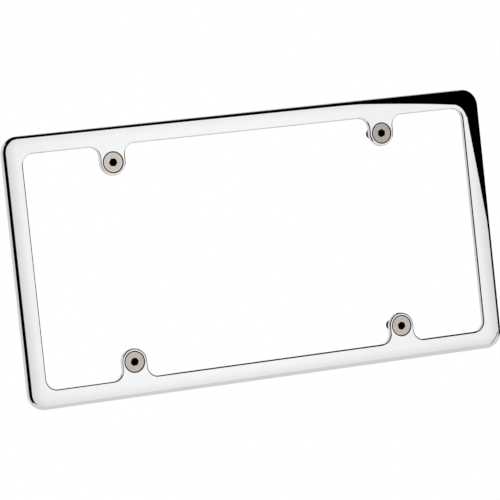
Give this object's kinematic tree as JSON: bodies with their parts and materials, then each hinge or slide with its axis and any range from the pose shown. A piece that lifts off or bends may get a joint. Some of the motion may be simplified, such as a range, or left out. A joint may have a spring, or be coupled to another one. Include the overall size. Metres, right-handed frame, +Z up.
{
  "type": "number plate holder",
  "caption": "Slim polished number plate frame: rounded rectangular ring with a crowned face and inward lobes, held by countersunk socket screws whose threaded ends stand out behind.",
  "frame": {"origin": "middle of the screw pattern, on the flat back face of the frame", "axes": "+X along the width, +Z up as mounted on the vehicle, -Y out of the front face towards the viewer"},
  "size_m": [0.3154, 0.0182, 0.1638],
  "materials": {
    "billet": "mirror polished",
    "screw_steel": "satin, turned"
  },
  "bodies": {
    "root": {"plate_frame": "billet", "plate_screws": "screw_steel"}
  },
  "joints": []
}
